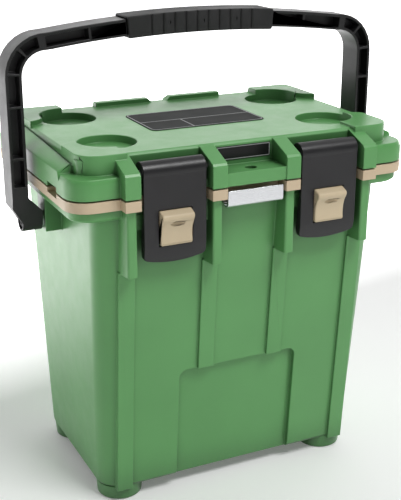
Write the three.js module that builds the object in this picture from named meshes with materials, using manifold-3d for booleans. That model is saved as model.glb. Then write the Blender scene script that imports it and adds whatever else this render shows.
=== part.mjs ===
// A 20-litre hard-sided picnic cooler with a bail handle, two press-and-pull latches and a bottle opener.
// Millimetres, +Z up, front towards -Y. The origin is on the ground, under the middle of the cooler.

import * as THREE from 'three';
import { mergeVertices } from 'three/addons/utils/BufferGeometryUtils.js';
import Module from 'manifold-3d';

const wasm = await Module();
wasm.setup();

// ---------------------------------------------------------------- driving dimensions

const GAP = 0.3; // clearance between pieces that touch
const SIDES = [-1, 1]; // left and right
const CORNER_STEPS = 5; // flats in each rounded corner of a tub

const PAD_PROUD = 0.8; // how far each rubber pad stands below its moulded foot
const FOOT = { x: 150, y: 84, radius: 30, taper: 1.5, pad_radius: 21, pad_depth: 4 };

// Body, which tapers from its rim to its base
const BASE_Z = 17;
const NECK_Z = 375;
const BASE_HALF = { x: 181.6, y: 114.6 };
const NECK_HALF = { x: 190, y: 143.3 };
const BODY_CORNER = 30;
const BASE_BEVEL = 5;
const SHELL_FLOOR = 5;
const SHELL_WALL = { x: 5.5, y: 12.5 }; // behind the recessed front panel the wall is thicker

// Rim of the body, rim band of the liner and lid flange, one above the other
const RIM_BOTTOM = 386.5;
const RIM_TOP = 399;
const RIM_HALF = { x: 218, y: 150 };
const RIM_CORNER = 26;
const BAND_TOP = 411.6;
const LID_BOTTOM = 413.4;
const FLANGE_HALF = { x: 222.6, y: 154.4 };
const FLANGE_CORNER = 28;
const FLANGE_SHOULDER = 430.5;
const FLANGE_TOP = 437;
const FLANGE_BEVEL = 2.8;
const SIDE_NOTCH = { y: -86.5, length: 33, depth: 9, bottom: 406.5, top: 419 };

// Four front ribs, on the lid, the band and the body
const RIB_X = [-155, -48.2, 48.2, 155];
const RIB_FRONT = 168.6;
const RIB_HALF = 9.5;
const BODY_RIB = { front: 162, half_front: 6.1, half_back: 10.5, bottom: 318.7 };
const STRIPE = { half: 10.5, proud: 4 };
const PANEL = { half: 82, top: 172, depth: 7, corner: 11 };

// Foam-filled space and food compartment
const TUB_FLOOR = 71;
const TUB_WALL = 3;
const TUB_BASE_HALF = { x: 138, y: 86 };
const TUB_MOUTH_HALF = { x: 146, y: 104 };
const TUB_CORNER = 26;

// Lid
const DECK_Z = 457;
const DECK_HALF = { x: 205, y: 131 };
const DECK_CORNER = 12;
const DECK_BEVEL = 3;
const LID_CAVITY_HALF = { x: 196, y: 123 };
const LID_CAVITY_TOP = 450;
const LID_PANEL = 3.7;
const PLUG_BOTTOM = 391;
const PLUG_GAP = 3;
const CUP = { x: 148, y: 69, radius: 37, taper: 2.5, depth: 9, skin: 6 };
const CORNER_BLOCK = { inner: 150, front: 140, back: 58, top: 460, round: 26 };
const REAR_PAD = { inner: 144, back: 131, front: 45, top: 463.5, round: 20 };
const REAR_CHAMFER = 4; // lets the pushed-back handle pass behind the opening lid
const REAR_STRIP = { inner: 11, outer: 92, front: 118, back: 133, top: 463 };
const SIDE_PAD = { inner: 206.5, half_length: 115, ramp: 5, outer_top: 440, front_top: 447, rear_top: 455 };
const SHELF = { half: 39, front: 166.6, top: 429.3, hole_radius: 7, hole_y: -150, joint: -138 };
const BAY_FLOOR = 423;
const BAND_BAY_FRONT = 146; // the rim band stands back behind the latches
const LABEL = { x: 157, y: 96, corner: 9, centre_y: 4, thick: 1.2, pocket: 0.7 };
const NAMEPLATE = { x: 71, z: 16.5, centre_z: 443.6, thick: 1.2, pocket: 0.5 };
const SEAL = { x: 158, y: 114, width: 7, groove: 1.6 };

// Lid hinge, at the back
const HINGE = { x: 100, y: 163.2, z: 413, radius: 8.8, pin: 3, half: 15, ear: 10, ear_gap: 0.6 };

// Latches
const LATCH_X = 101.6;
const LATCH = {
  pin_y: -150, pin_z: 438.5, pin: 3, barrel: 12.6, half: 38.7, front: -162, wall: 4,
  bottom: 330.5, side_bottom: 336.5, side_wall: 3.5, pin_into_rib: 7,
};
const KEEPER = { front: 150.6, bottom: 372 };
const BUTTON = {
  half: 20, pin_y: -154.9, pin_z: 358.5, pin: 1.5, lug: 3.5, ear: 3.2, ear_from: 23, ear_back: -151.6,
};
const WINDOW = { half: 20.7, bottom: 352.3, top: 395.2 };

// Bottle opener
const OPENER = { half: 36.4, front: 165, back: 150.3, thick: 2, bottom: 387, top: 407.5, leg_top: 398.4 };
const OPENER_SCREW = { x: 22, z: 395, radius: 2, head: 3, head_height: 2.2, length: 12 };

// Carrying handle
const PIVOT_Z = 351.3;
const HANDLE = {
  arm: 240, half: 10, half_depth: 18, corner: 40, bend_z: 529.5, arch: 1488,
  web: 2.5, edge: 3.6, rib: 3.2, foot_z: 398, heel_z: 372,
};
const HUB = { inner: 212.5, outer: 237.5, radius: 12.4, bore: 7.3, recess: 9.8, recess_depth: 7.5 };
const BOSS = { outer: 210, half: 15, bottom: 338.5 };
const PIVOT_BOLT = { radius: 4, tip: 194, head: 7.5, head_height: 4.4, socket: 3 };
const GRIP = { half_length: 99, half: 13, half_depth: 21, core_half: 9, core_half_depth: 16 };

// ---------------------------------------------------------------- solids

/** Closed three.js geometry to a manifold solid. */
function solid(geometry) {
  const bare = geometry.clone();
  bare.deleteAttribute('normal');
  bare.deleteAttribute('uv');
  const merged = mergeVertices(bare, 1e-4);
  const mesh = new wasm.Mesh({
    numProp: 3,
    vertProperties: merged.attributes.position.array,
    triVerts: new Uint32Array(merged.index.array),
  });
  return new wasm.Manifold(mesh);
}

/** Manifold solid to a three.js geometry. */
function geometryOf(shape) {
  const mesh = shape.getMesh();
  const geometry = new THREE.BufferGeometry();
  geometry.setAttribute('position', new THREE.BufferAttribute(mesh.vertProperties, 3));
  geometry.setIndex(new THREE.BufferAttribute(mesh.triVerts, 1));
  geometry.computeVertexNormals();
  return geometry;
}

function join(...shapes) {
  return shapes.reduce((whole, piece) => whole.add(piece));
}

function cut(shape, ...tools) {
  return tools.reduce((rest, tool) => rest.subtract(tool), shape);
}

/** Box between two corners. */
function box(low, high) {
  const size = high.map((value, axis) => value - low[axis]);
  const geometry = new THREE.BoxGeometry(...size);
  geometry.translate(...low.map((value, axis) => value + size[axis] / 2));
  return solid(geometry);
}

/** Outline given as points or a THREE.Shape, extruded by depth along its own third axis. */
function extrusion(outline, depth, steps = 8) {
  const shape = outline instanceof THREE.Shape
    ? outline
    : new THREE.Shape(outline.map(([u, v]) => new THREE.Vector2(u, v)));
  return new THREE.ExtrudeGeometry(shape, { depth, bevelEnabled: false, curveSegments: steps });
}

/** Outline in X and Y, from z0 up to z1. */
function alongZ(outline, z0, z1, steps) {
  const geometry = extrusion(outline, z1 - z0, steps);
  geometry.translate(0, 0, z0);
  return solid(geometry);
}

/** Outline in Y and Z, from x0 to x1. */
function alongX(outline, x0, x1, steps) {
  const geometry = extrusion(outline, x1 - x0, steps);
  const axes = new THREE.Matrix4().makeBasis(
    new THREE.Vector3(0, 1, 0), new THREE.Vector3(0, 0, 1), new THREE.Vector3(1, 0, 0));
  geometry.applyMatrix4(axes);
  geometry.translate(x0, 0, 0);
  return solid(geometry);
}

/** Outline in X and Z, from y0 back to y1. */
function alongY(outline, y0, y1, steps) {
  const geometry = extrusion(outline, y1 - y0, steps);
  geometry.rotateX(Math.PI / 2);
  geometry.translate(0, y1, 0);
  return solid(geometry);
}

/** Solid of revolution about an axis parallel to X, its profile as [radius, x] points. */
function turnedX(profile, y, z, flats = 20) {
  const points = profile.map(([radius, x]) => new THREE.Vector2(radius, x));
  const geometry = new THREE.LatheGeometry(points, flats);
  geometry.rotateZ(-Math.PI / 2);
  geometry.translate(0, y, z);
  return solid(geometry);
}

/** Plain rod about an axis parallel to X. */
function rodX(radius, x0, x1, y, z, flats) {
  return turnedX([[0, x0], [radius, x0], [radius, x1], [0, x1]], y, z, flats);
}

/** Disc or cone frustum standing on z0. */
function post(x, y, bottom_radius, top_radius, z0, z1, flats = 28) {
  const geometry = new THREE.CylinderGeometry(top_radius, bottom_radius, z1 - z0, flats);
  geometry.rotateX(Math.PI / 2);
  geometry.translate(x, y, (z0 + z1) / 2);
  return solid(geometry);
}

/** Rod about an axis parallel to Y. */
function rodY(radius, y0, y1, x, z, flats = 16) {
  const geometry = new THREE.CylinderGeometry(radius, radius, y1 - y0, flats);
  geometry.translate(x, (y0 + y1) / 2, z);
  return solid(geometry);
}

/** Mirror of a right-hand solid for the left side. */
function onSide(side, shape) {
  return side < 0 ? shape.mirror([1, 0, 0]) : shape;
}

/** Points around a rounded rectangle, anticlockwise seen from above. */
function roundedRing(half_x, half_y, radius) {
  const ring = [];
  const quarters = [[1, 1], [-1, 1], [-1, -1], [1, -1]];
  quarters.forEach(([sign_x, sign_y], quarter) => {
    for (let step = 0; step <= CORNER_STEPS; step += 1) {
      const angle = (quarter + step / CORNER_STEPS) * Math.PI / 2;
      ring.push([
        sign_x * (half_x - radius) + radius * Math.cos(angle),
        sign_y * (half_y - radius) + radius * Math.sin(angle),
      ]);
    }
  });
  return ring;
}

/** Closed tub-like block through rounded rectangles at rising levels: [z, half_x, half_y, corner]. */
function loft(levels) {
  const positions = [];
  const faces = [];
  levels.forEach(([z, half_x, half_y, corner]) => {
    roundedRing(half_x, half_y, corner).forEach(([x, y]) => positions.push(x, y, z));
  });
  const count = 4 * (CORNER_STEPS + 1);
  for (let level = 0; level < levels.length - 1; level += 1) {
    for (let point = 0; point < count; point += 1) {
      const a = level * count + point;
      const b = level * count + (point + 1) % count;
      faces.push(a, b, b + count, a, b + count, a + count);
    }
  }
  const top = (levels.length - 1) * count;
  for (let point = 1; point < count - 1; point += 1) {
    faces.push(0, point + 1, point);
    faces.push(top, top + point, top + point + 1);
  }
  const geometry = new THREE.BufferGeometry();
  geometry.setAttribute('position', new THREE.Float32BufferAttribute(positions, 3));
  geometry.setIndex(faces);
  return solid(geometry);
}

/** Rounded rectangle as a THREE.Shape between two corners, with one radius per corner from low-low round. */
function roundedShape(u0, v0, u1, v1, [r00, r10, r11, r01]) {
  const shape = new THREE.Shape();
  shape.moveTo(u0 + r00, v0);
  shape.lineTo(u1 - r10, v0);
  if (r10) shape.absarc(u1 - r10, v0 + r10, r10, -Math.PI / 2, 0);
  shape.lineTo(u1, v1 - r11);
  if (r11) shape.absarc(u1 - r11, v1 - r11, r11, 0, Math.PI / 2);
  shape.lineTo(u0 + r01, v1);
  if (r01) shape.absarc(u0 + r01, v1 - r01, r01, Math.PI / 2, Math.PI);
  shape.lineTo(u0, v0 + r00);
  if (r00) shape.absarc(u0 + r00, v0 + r00, r00, Math.PI, 1.5 * Math.PI);
  return shape;
}

// ---------------------------------------------------------------- materials

function finish(colour, roughness, metalness = 0) {
  return new THREE.MeshStandardMaterial({ color: colour, roughness, metalness });
}

const GREEN = finish('#5fa45e', 0.42);
const TAN = finish('#c8b093', 0.5);
const BLACK_PLASTIC = finish('#2b2b2d', 0.5);
const RUBBER = finish('#1d1d1e', 0.85);
const STEEL = finish('#c9cbcd', 0.25, 1);
const BRASS = finish('#b08d4f', 0.35, 1);
const FOAM = finish('#e3d9a8', 0.95);
const PLATE_BLACK = finish('#242426', 0.35);

// ---------------------------------------------------------------- body

/** Half depth of the sloping front face at a height. */
function faceY(z) {
  const share = (z - BASE_Z) / (NECK_Z - BASE_Z);
  return BASE_HALF.y + share * (NECK_HALF.y - BASE_HALF.y);
}

/** Slab between two heights whose front stands the given distance in front of the face. */
function frontSlab(x0, x1, z0, z1, proud, back = 90) {
  const outline = [[-faceY(z0) - proud, z0], [-back, z0], [-back, z1], [-faceY(z1) - proud, z1]];
  return alongX(outline, x0, x1);
}

function bodyBlock() {
  return loft([
    [BASE_Z, BASE_HALF.x - BASE_BEVEL, BASE_HALF.y - BASE_BEVEL, BODY_CORNER - BASE_BEVEL],
    [BASE_Z + BASE_BEVEL, BASE_HALF.x, BASE_HALF.y, BODY_CORNER],
    [NECK_Z, NECK_HALF.x, NECK_HALF.y, BODY_CORNER],
    [RIM_TOP, NECK_HALF.x, NECK_HALF.y, BODY_CORNER],
  ]);
}

function rimBlock() {
  const lip = 3;
  return loft([
    [RIM_BOTTOM, RIM_HALF.x - lip, RIM_HALF.y - lip, RIM_CORNER],
    [RIM_BOTTOM + lip, RIM_HALF.x, RIM_HALF.y, RIM_CORNER],
    [RIM_TOP, RIM_HALF.x, RIM_HALF.y, RIM_CORNER],
  ]);
}

/** Space inside the shell; grow is negative for the foam that fills it. */
function shellSpace(grow) {
  const low = { x: BASE_HALF.x - SHELL_WALL.x + grow, y: BASE_HALF.y - SHELL_WALL.y + grow };
  const high = { x: NECK_HALF.x - SHELL_WALL.x + grow, y: NECK_HALF.y - SHELL_WALL.y + grow };
  return loft([
    [BASE_Z + SHELL_FLOOR - grow, low.x, low.y, TUB_CORNER],
    [NECK_Z, high.x, high.y, TUB_CORNER],
    [RIM_TOP + grow + (grow < 0 ? 0 : 1), high.x, high.y, TUB_CORNER],
  ]);
}

/** Food compartment and, with grow, the outside of its tub. */
function tubSpace(grow, top) {
  return loft([
    [TUB_FLOOR - grow, TUB_BASE_HALF.x + grow, TUB_BASE_HALF.y + grow, TUB_CORNER],
    [top, TUB_MOUTH_HALF.x + grow, TUB_MOUTH_HALF.y + grow, TUB_CORNER],
  ]);
}

function bodyRib(x) {
  const back = 128;
  const bevel = 1.6;
  const outline = [
    [x - BODY_RIB.half_back, -back], [x - BODY_RIB.half_front, -BODY_RIB.front + bevel],
    [x - BODY_RIB.half_front + bevel, -BODY_RIB.front], [x + BODY_RIB.half_front - bevel, -BODY_RIB.front],
    [x + BODY_RIB.half_front, -BODY_RIB.front + bevel], [x + BODY_RIB.half_back, -back],
  ];
  return alongZ(outline, BODY_RIB.bottom, RIM_TOP);
}

/** Shallow raised stripe that carries each rib down the front. */
function frontStripe(x) {
  const outer = Math.abs(x) > PANEL.half;
  const bottom = outer ? BASE_Z : PANEL.top;
  return frontSlab(x - STRIPE.half, x + STRIPE.half, bottom, BODY_RIB.bottom + 2, STRIPE.proud);
}

function panelCutter() {
  const { half, top, depth, corner } = PANEL;
  const outline = roundedShape(-half, BASE_Z - 2, half, top, [0, 0, corner, corner]);
  const window = alongY(outline, -170, -90);
  const behind = frontSlab(-half - 1, half + 1, BASE_Z - 3, top + 1, -depth, 60);
  return window.subtract(behind);
}

function pivotBoss(side) {
  const { outer, half, bottom } = BOSS;
  return onSide(side, box([180, -half, bottom], [outer, half, RIM_BOTTOM + 4]));
}

function hingeEar(x0, x1) {
  const { y, z, radius } = HINGE;
  const shape = new THREE.Shape();
  shape.moveTo(RIM_HALF.y - 3, RIM_BOTTOM + 4);
  shape.lineTo(y - 2, RIM_BOTTOM + 4);
  shape.lineTo(y + radius, z - 8);
  shape.absarc(y, z, radius, 0, Math.PI);
  shape.lineTo(y - radius + 1.4, RIM_TOP - 1);
  shape.lineTo(RIM_HALF.y - 3, RIM_TOP - 1);
  return alongX(shape, x0, x1, 10);
}

/** X ranges of the two body ears of a hinge centred on x. */
function earRanges(x) {
  const { half, ear, ear_gap } = HINGE;
  return SIDES.map((side) => {
    const near = x + side * (half + ear_gap);
    const far = near + side * ear;
    return [Math.min(near, far), Math.max(near, far)];
  });
}

/** Front of the body between two ribs, where the latch button catches. */
function keeperLedge(side) {
  const x0 = side * LATCH_X - 46;
  return box([x0, -KEEPER.front, KEEPER.bottom], [x0 + 92, -130, RIM_BOTTOM + 4]);
}

function foot(x, y) {
  return post(x, y, FOOT.radius - FOOT.taper, FOOT.radius, PAD_PROUD, BASE_Z + 2);
}

function footPlaces() {
  return SIDES.flatMap((side) => SIDES.map((end) => [side * FOOT.x, end * FOOT.y]));
}

function bodyShell() {
  const solids = [
    bodyBlock(), rimBlock(), ...RIB_X.map(bodyRib), ...RIB_X.map(frontStripe),
    ...SIDES.map(pivotBoss), ...SIDES.map(keeperLedge),
    ...footPlaces().map(([x, y]) => foot(x, y)),
    ...SIDES.flatMap((side) => earRanges(side * HINGE.x).map(([x0, x1]) => hingeEar(x0, x1))),
  ];
  const insert_bore = HUB.bore;
  const tools = [
    shellSpace(0), panelCutter(),
    ...SIDES.map((side) => onSide(side, rodX(insert_bore, PIVOT_BOLT.tip - 2, BOSS.outer + 1, 0, PIVOT_Z))),
    ...SIDES.map((side) => {
      const reach = side * HINGE.x;
      return rodX(HINGE.pin + GAP, reach - 40, reach + 40, HINGE.y, HINGE.z, 16);
    }),
    ...SIDES.map((side) => {
      const { x, z, radius, length } = OPENER_SCREW;
      return rodY(radius + GAP, -OPENER.back - 5, -OPENER.back + length, side * x, z, 12);
    }),
    ...footPlaces().map(([x, y]) => {
      return post(x, y, FOOT.pad_radius + GAP, FOOT.pad_radius + GAP, PAD_PROUD - 1, FOOT.pad_depth + GAP);
    }),
  ];
  return cut(join(...solids), ...tools);
}

function bodyFoam() {
  return shellSpace(-GAP).subtract(tubSpace(TUB_WALL + GAP, RIM_TOP + 1));
}

/** Outline of the rim band: the flange outline with a lobe for each rib. */
function bandBlock(z0, z1) {
  const plate = loft([
    [z0, FLANGE_HALF.x, FLANGE_HALF.y, FLANGE_CORNER],
    [z1, FLANGE_HALF.x, FLANGE_HALF.y, FLANGE_CORNER],
  ]);
  const lobes = RIB_X.map((x) => box([x - RIB_HALF, -RIB_FRONT, z0], [x + RIB_HALF, -140, z1]));
  return join(plate, ...lobes);
}

/** Room for the turning hinge knuckles, cut from the rear edges of lid and band. */
function hingeRelief(side) {
  const reach = HINGE.half + HINGE.ear_gap + HINGE.ear + HINGE.ear_gap;
  const centre = side * HINGE.x;
  return rodX(HINGE.radius + 0.8, centre - reach, centre + reach, HINGE.y, HINGE.z);
}

function sideNotch(side) {
  const { y, length, depth, bottom, top } = SIDE_NOTCH;
  const outer = FLANGE_HALF.x;
  return onSide(side, box([outer - depth, y - length / 2, bottom], [outer + 1, y + length / 2, top]));
}

/** Room behind a latch, cut from the front of the band between two ribs. */
function bandBay(side) {
  const inner = RIB_X[2] + RIB_HALF;
  const outer = RIB_X[3] - RIB_HALF;
  return onSide(side, box([inner, -200, RIM_TOP - 1], [outer, -BAND_BAY_FRONT, BAND_TOP + 1]));
}

function bodyLiner() {
  const rim = bandBlock(RIM_TOP + GAP, BAND_TOP);
  const tub = tubSpace(TUB_WALL, RIM_TOP + 2);
  const opener_notch = box([-38.4, -200, RIM_TOP - 1], [38.4, -148, BAND_TOP + 1]);
  const mouth = tubSpace(0, BAND_TOP + 1);
  return cut(
    join(rim, tub), mouth, opener_notch, ...SIDES.map(bandBay), ...SIDES.map(hingeRelief),
    ...SIDES.map(sideNotch));
}

function footPad(x, y) {
  return post(x, y, FOOT.pad_radius - 1, FOOT.pad_radius, 0, FOOT.pad_depth);
}

// ---------------------------------------------------------------- lid

function lidRib(x) {
  const crest = DECK_Z - 1.5;
  const outline = [
    [-118, LID_BOTTOM], [-118, crest], [-133, crest], [-RIB_FRONT + 3, FLANGE_TOP + 6],
    [-RIB_FRONT, FLANGE_TOP + 2.5], [-RIB_FRONT, LID_BOTTOM],
  ];
  return alongX(outline, x - RIB_HALF, x + RIB_HALF);
}

function lidFlange() {
  const inset = FLANGE_BEVEL;
  return loft([
    [LID_BOTTOM, FLANGE_HALF.x, FLANGE_HALF.y, FLANGE_CORNER],
    [FLANGE_SHOULDER, FLANGE_HALF.x, FLANGE_HALF.y, FLANGE_CORNER],
    [FLANGE_TOP, FLANGE_HALF.x - inset, FLANGE_HALF.y - inset, FLANGE_CORNER - inset],
  ]);
}

function lidDeck() {
  const inset = DECK_BEVEL;
  return loft([
    [FLANGE_SHOULDER, DECK_HALF.x, DECK_HALF.y, DECK_CORNER],
    [DECK_Z - inset, DECK_HALF.x, DECK_HALF.y, DECK_CORNER],
    [DECK_Z, DECK_HALF.x - inset, DECK_HALF.y - inset, DECK_CORNER],
  ]);
}

/** Raised block at a front corner, ending in a sweep behind the cup holder. */
function frontCornerBlock(side) {
  const { inner, front, back, top, round } = CORNER_BLOCK;
  const shape = new THREE.Shape();
  shape.moveTo(inner, -front);
  shape.lineTo(DECK_HALF.x - round, -front);
  shape.absarc(DECK_HALF.x - round, -front + round, round, -Math.PI / 2, 0);
  shape.lineTo(DECK_HALF.x, -back - 16);
  shape.quadraticCurveTo(DECK_HALF.x - 14, -back, CUP.x + 20, -back);
  shape.lineTo(inner, -back);
  return onSide(side, alongZ(shape, FLANGE_SHOULDER, top, 5));
}

/** Everything in front of a back edge that is chamfered at the top. */
function chamferedRear(front, back, top) {
  const outline = [
    [front - 1, FLANGE_SHOULDER], [back, FLANGE_SHOULDER], [back, top - REAR_CHAMFER],
    [back - REAR_CHAMFER, top], [front - 1, top],
  ];
  return alongX(outline, 0, FLANGE_HALF.x);
}

/** Raised rim around the outer half of a rear cup holder, sweeping out to the side of the deck. */
function rearCornerPad(side) {
  const { inner, back, front, top, round } = REAR_PAD;
  const shape = new THREE.Shape();
  shape.moveTo(inner, CUP.y);
  shape.lineTo(CUP.x + CUP.radius - 3, CUP.y);
  shape.quadraticCurveTo(CUP.x + CUP.radius + 2, front + 5, DECK_HALF.x, front);
  shape.lineTo(DECK_HALF.x, back - round);
  shape.absarc(DECK_HALF.x - round, back - round, round, 0, Math.PI / 2);
  shape.lineTo(inner, back);
  const pad = alongZ(shape, FLANGE_SHOULDER, top, 6).intersect(chamferedRear(front, back, top));
  return onSide(side, pad);
}

function rearStrip(side) {
  const { inner, outer, front, back, top } = REAR_STRIP;
  const slope = top - DECK_Z;
  const outline = [
    [inner, DECK_Z - 8], [outer, DECK_Z - 8], [outer, top], [inner + slope, top], [inner, DECK_Z],
  ];
  return onSide(side, alongY(outline, front, back).intersect(chamferedRear(front, back, top)));
}

/** Sloping pad between the deck and the edge of the flange, rising towards the back. */
function sidePad(side) {
  const { inner, half_length, ramp, outer_top, front_top, rear_top } = SIDE_PAD;
  const outer = FLANGE_HALF.x;
  const foot = FLANGE_SHOULDER - 4;
  const corners = SIDES.flatMap((end) => {
    const inner_top = end < 0 ? front_top : rear_top;
    const top_y = end * (half_length - ramp);
    return [
      [inner, end * half_length, foot], [outer, end * half_length, foot],
      [inner, top_y, inner_top], [outer, top_y, outer_top],
    ];
  });
  return onSide(side, wasm.Manifold.hull(corners));
}

function cupHolder(side, end, extra_radius, z0, z1) {
  const radius = CUP.radius + extra_radius;
  return post(side * CUP.x, end * CUP.y, radius - CUP.taper, radius, z0, z1, 36);
}

function cups(extra_radius, z0, z1) {
  return SIDES.flatMap((side) => SIDES.map((end) => cupHolder(side, end, extra_radius, z0, z1)));
}

/** Space under the deck; grow is negative for the foam that fills it. */
function lidSpace(grow) {
  const half = { x: LID_CAVITY_HALF.x + grow, y: LID_CAVITY_HALF.y + grow };
  const panel_top = LID_BOTTOM + GAP + LID_PANEL;
  const bottom = grow < 0 ? panel_top - grow : LID_BOTTOM - 1;
  const room = loft([
    [bottom, half.x, half.y, TUB_CORNER],
    [panel_top + 1, half.x, half.y, TUB_CORNER],
    [LID_CAVITY_TOP + grow, half.x - 4, half.y - 4, TUB_CORNER],
  ]);
  const skin_bottom = DECK_Z - CUP.depth - CUP.skin + grow;
  return cut(room, ...cups(CUP.skin - grow, skin_bottom, DECK_Z));
}

/** Open space in front of the deck between an outer and an inner rib, where a latch hangs. */
function latchBay(side) {
  const inner = RIB_X[2] + RIB_HALF;
  const outer = RIB_X[3] - RIB_HALF;
  return onSide(side, box([inner, -180, BAY_FLOOR], [outer, -DECK_HALF.y, DECK_Z + 5]));
}

function latchPinHoles(side) {
  const { pin, pin_y, pin_z, half, pin_into_rib } = LATCH;
  const reach = half + 5 + pin_into_rib;
  return rodX(pin + GAP, side * LATCH_X - reach - GAP, side * LATCH_X + reach + GAP, pin_y, pin_z, 16);
}

function lidKnuckle(side) {
  const { x, y, z, radius, half } = HINGE;
  const shape = new THREE.Shape();
  shape.moveTo(y, z - radius);
  shape.absarc(y, z, radius, -Math.PI / 2, Math.PI / 2);
  shape.lineTo(FLANGE_HALF.y - 6, z + radius);
  shape.lineTo(FLANGE_HALF.y - 6, LID_BOTTOM);
  shape.lineTo(y - radius + 0.2, LID_BOTTOM);
  shape.absarc(y, z, radius, Math.PI, 1.5 * Math.PI);
  return alongX(shape, side * x - half, side * x + half, 8);
}

function shelf() {
  const { half, front, top } = SHELF;
  return box([-half, -front, LID_BOTTOM], [half, -DECK_HALF.y + 2, top]);
}

/** Clears the flange top above the shelf so that the nameplate wall stands behind it. */
function shelfRecess() {
  const half = RIB_X[2] - RIB_HALF;
  return box([-half, -180, SHELF.top], [half, -DECK_HALF.y, DECK_Z + 5]);
}

function labelOutline(grow) {
  const { x, y, corner, centre_y } = LABEL;
  const half_x = x / 2 + grow;
  const half_y = y / 2 + grow;
  const corners = Array(4).fill(corner + grow);
  return roundedShape(-half_x, centre_y - half_y, half_x, centre_y + half_y, corners);
}

function nameplateBox(grow, y0, y1) {
  const { x, z, centre_z } = NAMEPLATE;
  return box([-x / 2 - grow, y0, centre_z - z / 2 - grow], [x / 2 + grow, y1, centre_z + z / 2 + grow]);
}

/** Place of the padlock shelf between the middle ribs; the gap keeps it clear of its neighbours. */
function shelfPlace(gap) {
  const half = RIB_X[2] - RIB_HALF - gap;
  return box([-half, -SHELF.front - 1, LID_BOTTOM - 1], [half, SHELF.joint - gap, SHELF.top + 1]);
}

/** The whole upper moulding, which the lid shell and the padlock shelf share. */
function lidMoulding() {
  const raised = join(
    lidFlange(), lidDeck(), shelf(), ...SIDES.map(frontCornerBlock), ...SIDES.map(rearCornerPad),
    ...SIDES.map(rearStrip), ...SIDES.map(sidePad));
  const carved = cut(raised, ...SIDES.map(latchBay), shelfRecess(), ...SIDES.map(hingeRelief));
  const ribbed = join(carved, ...RIB_X.map(lidRib), ...SIDES.map(lidKnuckle));
  const wall = -DECK_HALF.y;
  return cut(
    ribbed, lidSpace(0), ...cups(0, DECK_Z - CUP.depth, REAR_PAD.top + 1), ...SIDES.map(latchPinHoles),
    ...SIDES.map(sideNotch),
    ...SIDES.map((side) => {
      const centre = side * HINGE.x;
      return rodX(HINGE.pin + GAP, centre - HINGE.half - 1, centre + HINGE.half + 1, HINGE.y, HINGE.z, 16);
    }),
    post(0, SHELF.hole_y, SHELF.hole_radius, SHELF.hole_radius, LID_BOTTOM - 1, SHELF.top + 1, 20),
    alongZ(labelOutline(GAP), DECK_Z - LABEL.pocket, DECK_Z + 1, 3),
    nameplateBox(GAP, wall - 1, wall + NAMEPLATE.pocket));
}

function lidShell() {
  return lidMoulding().subtract(shelfPlace(0));
}

function padlockShelf() {
  return lidMoulding().intersect(shelfPlace(GAP));
}

/** Plug that hangs into the mouth of the tub; grow shrinks it for the foam inside. */
function plugBlock(grow, bottom, top) {
  const share = PLUG_GAP - grow;
  return loft([
    [bottom, TUB_MOUTH_HALF.x - share - 2, TUB_MOUTH_HALF.y - share - 2, TUB_CORNER],
    [top, TUB_MOUTH_HALF.x - share - 1, TUB_MOUTH_HALF.y - share - 1, TUB_CORNER],
  ]);
}

/** Ring that the seal fills; grow is positive for its groove. */
function sealRing(z0, z1, grow) {
  const outside = { x: SEAL.x + grow, y: SEAL.y + grow };
  const inside = { x: SEAL.x - SEAL.width - grow, y: SEAL.y - SEAL.width - grow };
  const ring = [z0, z1].map((z) => [z, outside.x, outside.y, TUB_CORNER]);
  const hole = [z0 - 1, z1 + 1].map((z) => [z, inside.x, inside.y, TUB_CORNER - SEAL.width]);
  return loft(ring).subtract(loft(hole));
}

function lidPanel() {
  const bottom = LID_BOTTOM + GAP;
  const top = bottom + LID_PANEL;
  const half = { x: LID_CAVITY_HALF.x - GAP, y: LID_CAVITY_HALF.y - GAP };
  const plate = loft([[bottom, half.x, half.y, TUB_CORNER], [top, half.x, half.y, TUB_CORNER]]);
  const plug = plugBlock(0, PLUG_BOTTOM, bottom + 1);
  const hollow = plugBlock(-TUB_WALL, PLUG_BOTTOM + TUB_WALL, top + 1);
  const groove = sealRing(bottom - 1, bottom + SEAL.groove, GAP);
  return cut(join(plate, plug), hollow, groove);
}

function lidFoam() {
  const fill = plugBlock(-TUB_WALL - GAP, PLUG_BOTTOM + TUB_WALL + GAP, LID_BOTTOM + LID_PANEL + 3);
  return join(lidSpace(-GAP), fill);
}

function lidSeal() {
  return sealRing(BAND_TOP + GAP, LID_BOTTOM + SEAL.groove, 0);
}

function lidLabel() {
  return alongZ(labelOutline(0), DECK_Z - LABEL.pocket + GAP, DECK_Z - LABEL.pocket + GAP + LABEL.thick, 3);
}

function frontNameplate() {
  const back = -DECK_HALF.y + NAMEPLATE.pocket - GAP;
  return nameplateBox(0, back - NAMEPLATE.thick, back);
}

function hingePin(side) {
  const { x, y, z, pin, half, ear, ear_gap } = HINGE;
  const reach = half + ear_gap + ear;
  const head = reach + GAP;
  const profile = [
    [0, -reach], [pin, -reach], [pin, head], [pin + 2, head], [pin + 2, head + 2], [0, head + 2],
  ];
  const pin_right = turnedX(profile.map(([radius, along]) => [radius, x + along]), y, z, 16);
  return onSide(side, pin_right);
}

// ---------------------------------------------------------------- latches (right side, then mirrored)

/** Front view of the latch plate, with its curved lower edge. */
function latchOutline() {
  const { half, bottom, side_bottom, pin_z } = LATCH;
  const shape = new THREE.Shape();
  const round = 5;
  shape.moveTo(LATCH_X - half, pin_z);
  shape.lineTo(LATCH_X - half, side_bottom + round);
  shape.quadraticCurveTo(LATCH_X - half, side_bottom, LATCH_X - half + round, side_bottom - 1.4);
  shape.quadraticCurveTo(LATCH_X, 2 * bottom - side_bottom + 1.4, LATCH_X + half - round, side_bottom - 1.4);
  shape.quadraticCurveTo(LATCH_X + half, side_bottom, LATCH_X + half, side_bottom + round);
  shape.lineTo(LATCH_X + half, pin_z);
  return shape;
}

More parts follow.
